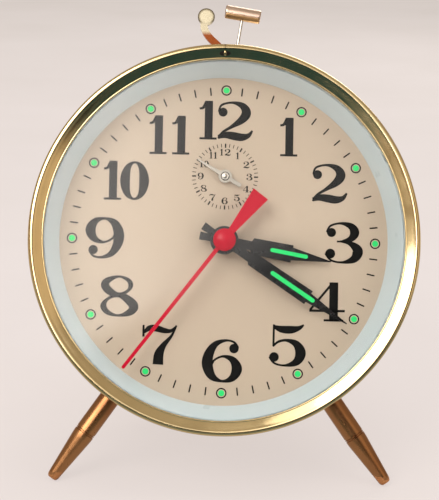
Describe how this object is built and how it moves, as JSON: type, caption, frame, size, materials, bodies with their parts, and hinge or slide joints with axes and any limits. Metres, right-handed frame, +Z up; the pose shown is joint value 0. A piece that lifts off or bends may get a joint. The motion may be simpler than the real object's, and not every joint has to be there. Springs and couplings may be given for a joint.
{
  "type": "wind-up alarm clock",
  "caption": "Round mechanical alarm clock on two turned legs, leaning back, with polished bezel, glass, hands, alarm dial, top hammer and stop lever, and keys and knobs behind.",
  "frame": {"origin": "on the floor, under the middle of the clock's bounding box", "axes": "+Z up, -Y toward the viewer of the dial, +X to the viewer's right"},
  "size_m": [0.11, 0.099, 0.1294],
  "materials": {
    "gold": "polished",
    "leg_brass": "polished",
    "hammer_brass": "polished",
    "clear_glass": "clear",
    "white_ring": "satin",
    "dial_paint": "matt",
    "black_paint": "gloss",
    "red_paint": "gloss",
    "nickel": "polished",
    "key_metal": "polished",
    "movement_brass": "brushed",
    "steel": "ground"
  },
  "bodies": {
    "clock": {"case_shell": "gold", "bezel": "gold", "glass": "clear_glass", "dial_ring": "white_ring", "dial": "dial_paint", "left_leg": "leg_brass", "right_leg": "leg_brass", "leg_nuts": "steel", "rear_cover": "gold", "cover_posts": "steel", "cover_screws": "nickel", "front_plate": "movement_brass", "back_plate": "movement_brass", "plate_pillars": "steel", "pillar_nuts": "steel", "train_bridge": "movement_brass", "bridge_posts": "steel", "hairspring": "steel", "hairspring_stud": "steel", "regulator_post": "steel", "bell_cup": "movement_brass"},
    "seconds": {"seconds_arbor": "steel", "fourth_wheel": "movement_brass", "second_hand": "red_paint"},
    "centre_train": {"centre_arbor": "steel", "centre_wheel": "movement_brass"},
    "third_train": {"third_arbor": "steel", "third_wheel": "movement_brass"},
    "escape_train": {"escape_arbor": "steel", "escape_wheel": "movement_brass"},
    "time_drum": {"time_barrel": "movement_brass", "time_mainspring": "steel"},
    "minute_group": {"cannon_pinion": "steel", "minute_hand": "black_paint"},
    "hour_group": {"hour_wheel": "movement_brass", "hour_hand": "black_paint"},
    "setting_group": {"setting_arbor": "steel", "minute_wheel": "movement_brass", "setting_knob": "key_metal"},
    "alarm_wheel_group": {"alarm_wheel": "movement_brass"},
    "alarm_set_group": {"alarm_set_arbor": "nickel", "alarm_hand": "nickel", "alarm_set_knob": "key_metal"},
    "pallet_group": {"pallet_lever": "steel"},
    "balance_group": {"balance_staff": "steel", "balance_wheel": "movement_brass"},
    "regulator_group": {"regulator_lever": "nickel"},
    "time_winding": {"time_winding_arbor": "steel", "time_key": "key_metal"},
    "time_click_group": {"time_click": "steel"},
    "alarm_drum_group": {"alarm_barrel": "movement_brass", "alarm_mainspring": "steel"},
    "alarm_winding": {"alarm_winding_arbor": "steel", "alarm_key": "key_metal"},
    "alarm_click_group": {"alarm_click": "steel"},
    "alarm_escape_group": {"alarm_escape_wheel": "steel"},
    "hammer_group": {"hammer_arbor": "steel", "hammer_rod": "nickel", "hammer_head": "hammer_brass"},
    "stop_group": {"stop_lever": "hammer_brass"}
  },
  "joints": [
    {"name": "second_turn", "type": "hinge", "parent": "clock", "child": "seconds", "pos_m": [0, -0.02135, 0.06693], "axis": [0, -0.9405, 0.3397], "continuous": true},
    {"name": "centre_turn", "type": "hinge", "parent": "clock", "child": "centre_train", "pos_m": [0, -0.02135, 0.06693], "axis": [0, -0.9405, 0.3397], "continuous": true},
    {"name": "third_turn", "type": "hinge", "parent": "clock", "child": "third_train", "pos_m": [0, -0.02481, 0.05734], "axis": [0, -0.9405, 0.3397], "continuous": true},
    {"name": "escape_turn", "type": "hinge", "parent": "clock", "child": "escape_train", "pos_m": [-0.00504, -0.02431, 0.05872], "axis": [0, -0.9405, 0.3397], "continuous": true},
    {"name": "time_drum_turn", "type": "hinge", "parent": "clock", "child": "time_drum", "pos_m": [-0.02028, -0.0195, 0.07204], "axis": [0, -0.9405, 0.3397], "continuous": true},
    {"name": "minute_turn", "type": "hinge", "parent": "clock", "child": "minute_group", "pos_m": [0, -0.02135, 0.06693], "axis": [0, -0.9405, 0.3397], "continuous": true},
    {"name": "hour_turn", "type": "hinge", "parent": "clock", "child": "hour_group", "pos_m": [0, -0.02135, 0.06693], "axis": [0, -0.9405, 0.3397], "continuous": true},
    {"name": "setting_turn", "type": "hinge", "parent": "clock", "child": "setting_group", "pos_m": [0.01068, -0.02344, 0.06113], "axis": [0, -0.9405, 0.3397], "continuous": true},
    {"name": "alarm_wheel_turn", "type": "hinge", "parent": "clock", "child": "alarm_wheel_group", "pos_m": [0, -0.01506, 0.08433], "axis": [0, -0.9405, 0.3397], "continuous": true},
    {"name": "alarm_set_turn", "type": "hinge", "parent": "clock", "child": "alarm_set_group", "pos_m": [0, -0.01506, 0.08433], "axis": [0, -0.9405, 0.3397], "continuous": true},
    {"name": "pallet_rock", "type": "hinge", "parent": "clock", "child": "pallet_group", "pos_m": [-0.0059, -0.02699, 0.05132], "axis": [0, -0.9405, 0.3397], "range_deg": [-4, 4]},
    {"name": "balance_swing", "type": "hinge", "parent": "clock", "child": "balance_group", "pos_m": [-0.007, -0.03018, 0.04248], "axis": [0, -0.9405, 0.3397], "range_deg": [-135, 135], "stiffness_Nm_per_rad": 0.000008},
    {"name": "regulator_turn", "type": "hinge", "parent": "clock", "child": "regulator_group", "pos_m": [-0.007, -0.03018, 0.04248], "axis": [0, -0.9405, 0.3397], "range_deg": [-15, 15]},
    {"name": "time_winding_turn", "type": "hinge", "parent": "clock", "child": "time_winding", "pos_m": [-0.02028, -0.0195, 0.07204], "axis": [0, -0.9405, 0.3397], "continuous": true},
    {"name": "time_click_lift", "type": "hinge", "parent": "clock", "child": "time_click_group", "pos_m": [-0.02028, -0.01644, 0.08051], "axis": [0, -0.9405, 0.3397], "range_deg": [0, 12], "stiffness_Nm_per_rad": 0.0002},
    {"name": "alarm_drum_turn", "type": "hinge", "parent": "clock", "child": "alarm_drum_group", "pos_m": [0.021, -0.01659, 0.0801], "axis": [0, -0.9405, 0.3397], "continuous": true},
    {"name": "alarm_winding_turn", "type": "hinge", "parent": "clock", "child": "alarm_winding", "pos_m": [0.021, -0.01659, 0.0801], "axis": [0, -0.9405, 0.3397], "continuous": true},
    {"name": "alarm_click_lift", "type": "hinge", "parent": "clock", "child": "alarm_click_group", "pos_m": [0.021, -0.01965, 0.07164], "axis": [0, -0.9405, 0.3397], "range_deg": [0, 12], "stiffness_Nm_per_rad": 0.0002},
    {"name": "alarm_escape_turn", "type": "hinge", "parent": "clock", "child": "alarm_escape_group", "pos_m": [0.005, -0.0115, 0.09421], "axis": [0, -0.9405, 0.3397], "continuous": true},
    {"name": "hammer_swing", "type": "hinge", "parent": "clock", "child": "hammer_group", "pos_m": [0, -0.00878, 0.10173], "axis": [0, -0.9405, 0.3397], "range_deg": [0, 17.4]},
    {"name": "stop_push", "type": "hinge", "parent": "clock", "child": "stop_group", "pos_m": [-0.006, -0.00878, 0.10173], "axis": [0, -0.9405, 0.3397], "range_deg": [-12, 0]}
  ],
  "couplings": [
    {"joint": "centre_turn", "follows": "second_turn", "ratio": 0.016667},
    {"joint": "third_turn", "follows": "second_turn", "ratio": -0.13333},
    {"joint": "escape_turn", "follows": "second_turn", "ratio": -8},
    {"joint": "time_drum_turn", "follows": "second_turn", "ratio": -0.0027778},
    {"joint": "hour_turn", "follows": "minute_turn", "ratio": 0.083333},
    {"joint": "setting_turn", "follows": "minute_turn", "ratio": -0.25},
    {"joint": "alarm_wheel_turn", "follows": "minute_turn", "ratio": -0.083333},
    {"joint": "alarm_escape_turn", "follows": "alarm_drum_turn", "ratio": -6}
  ]
}
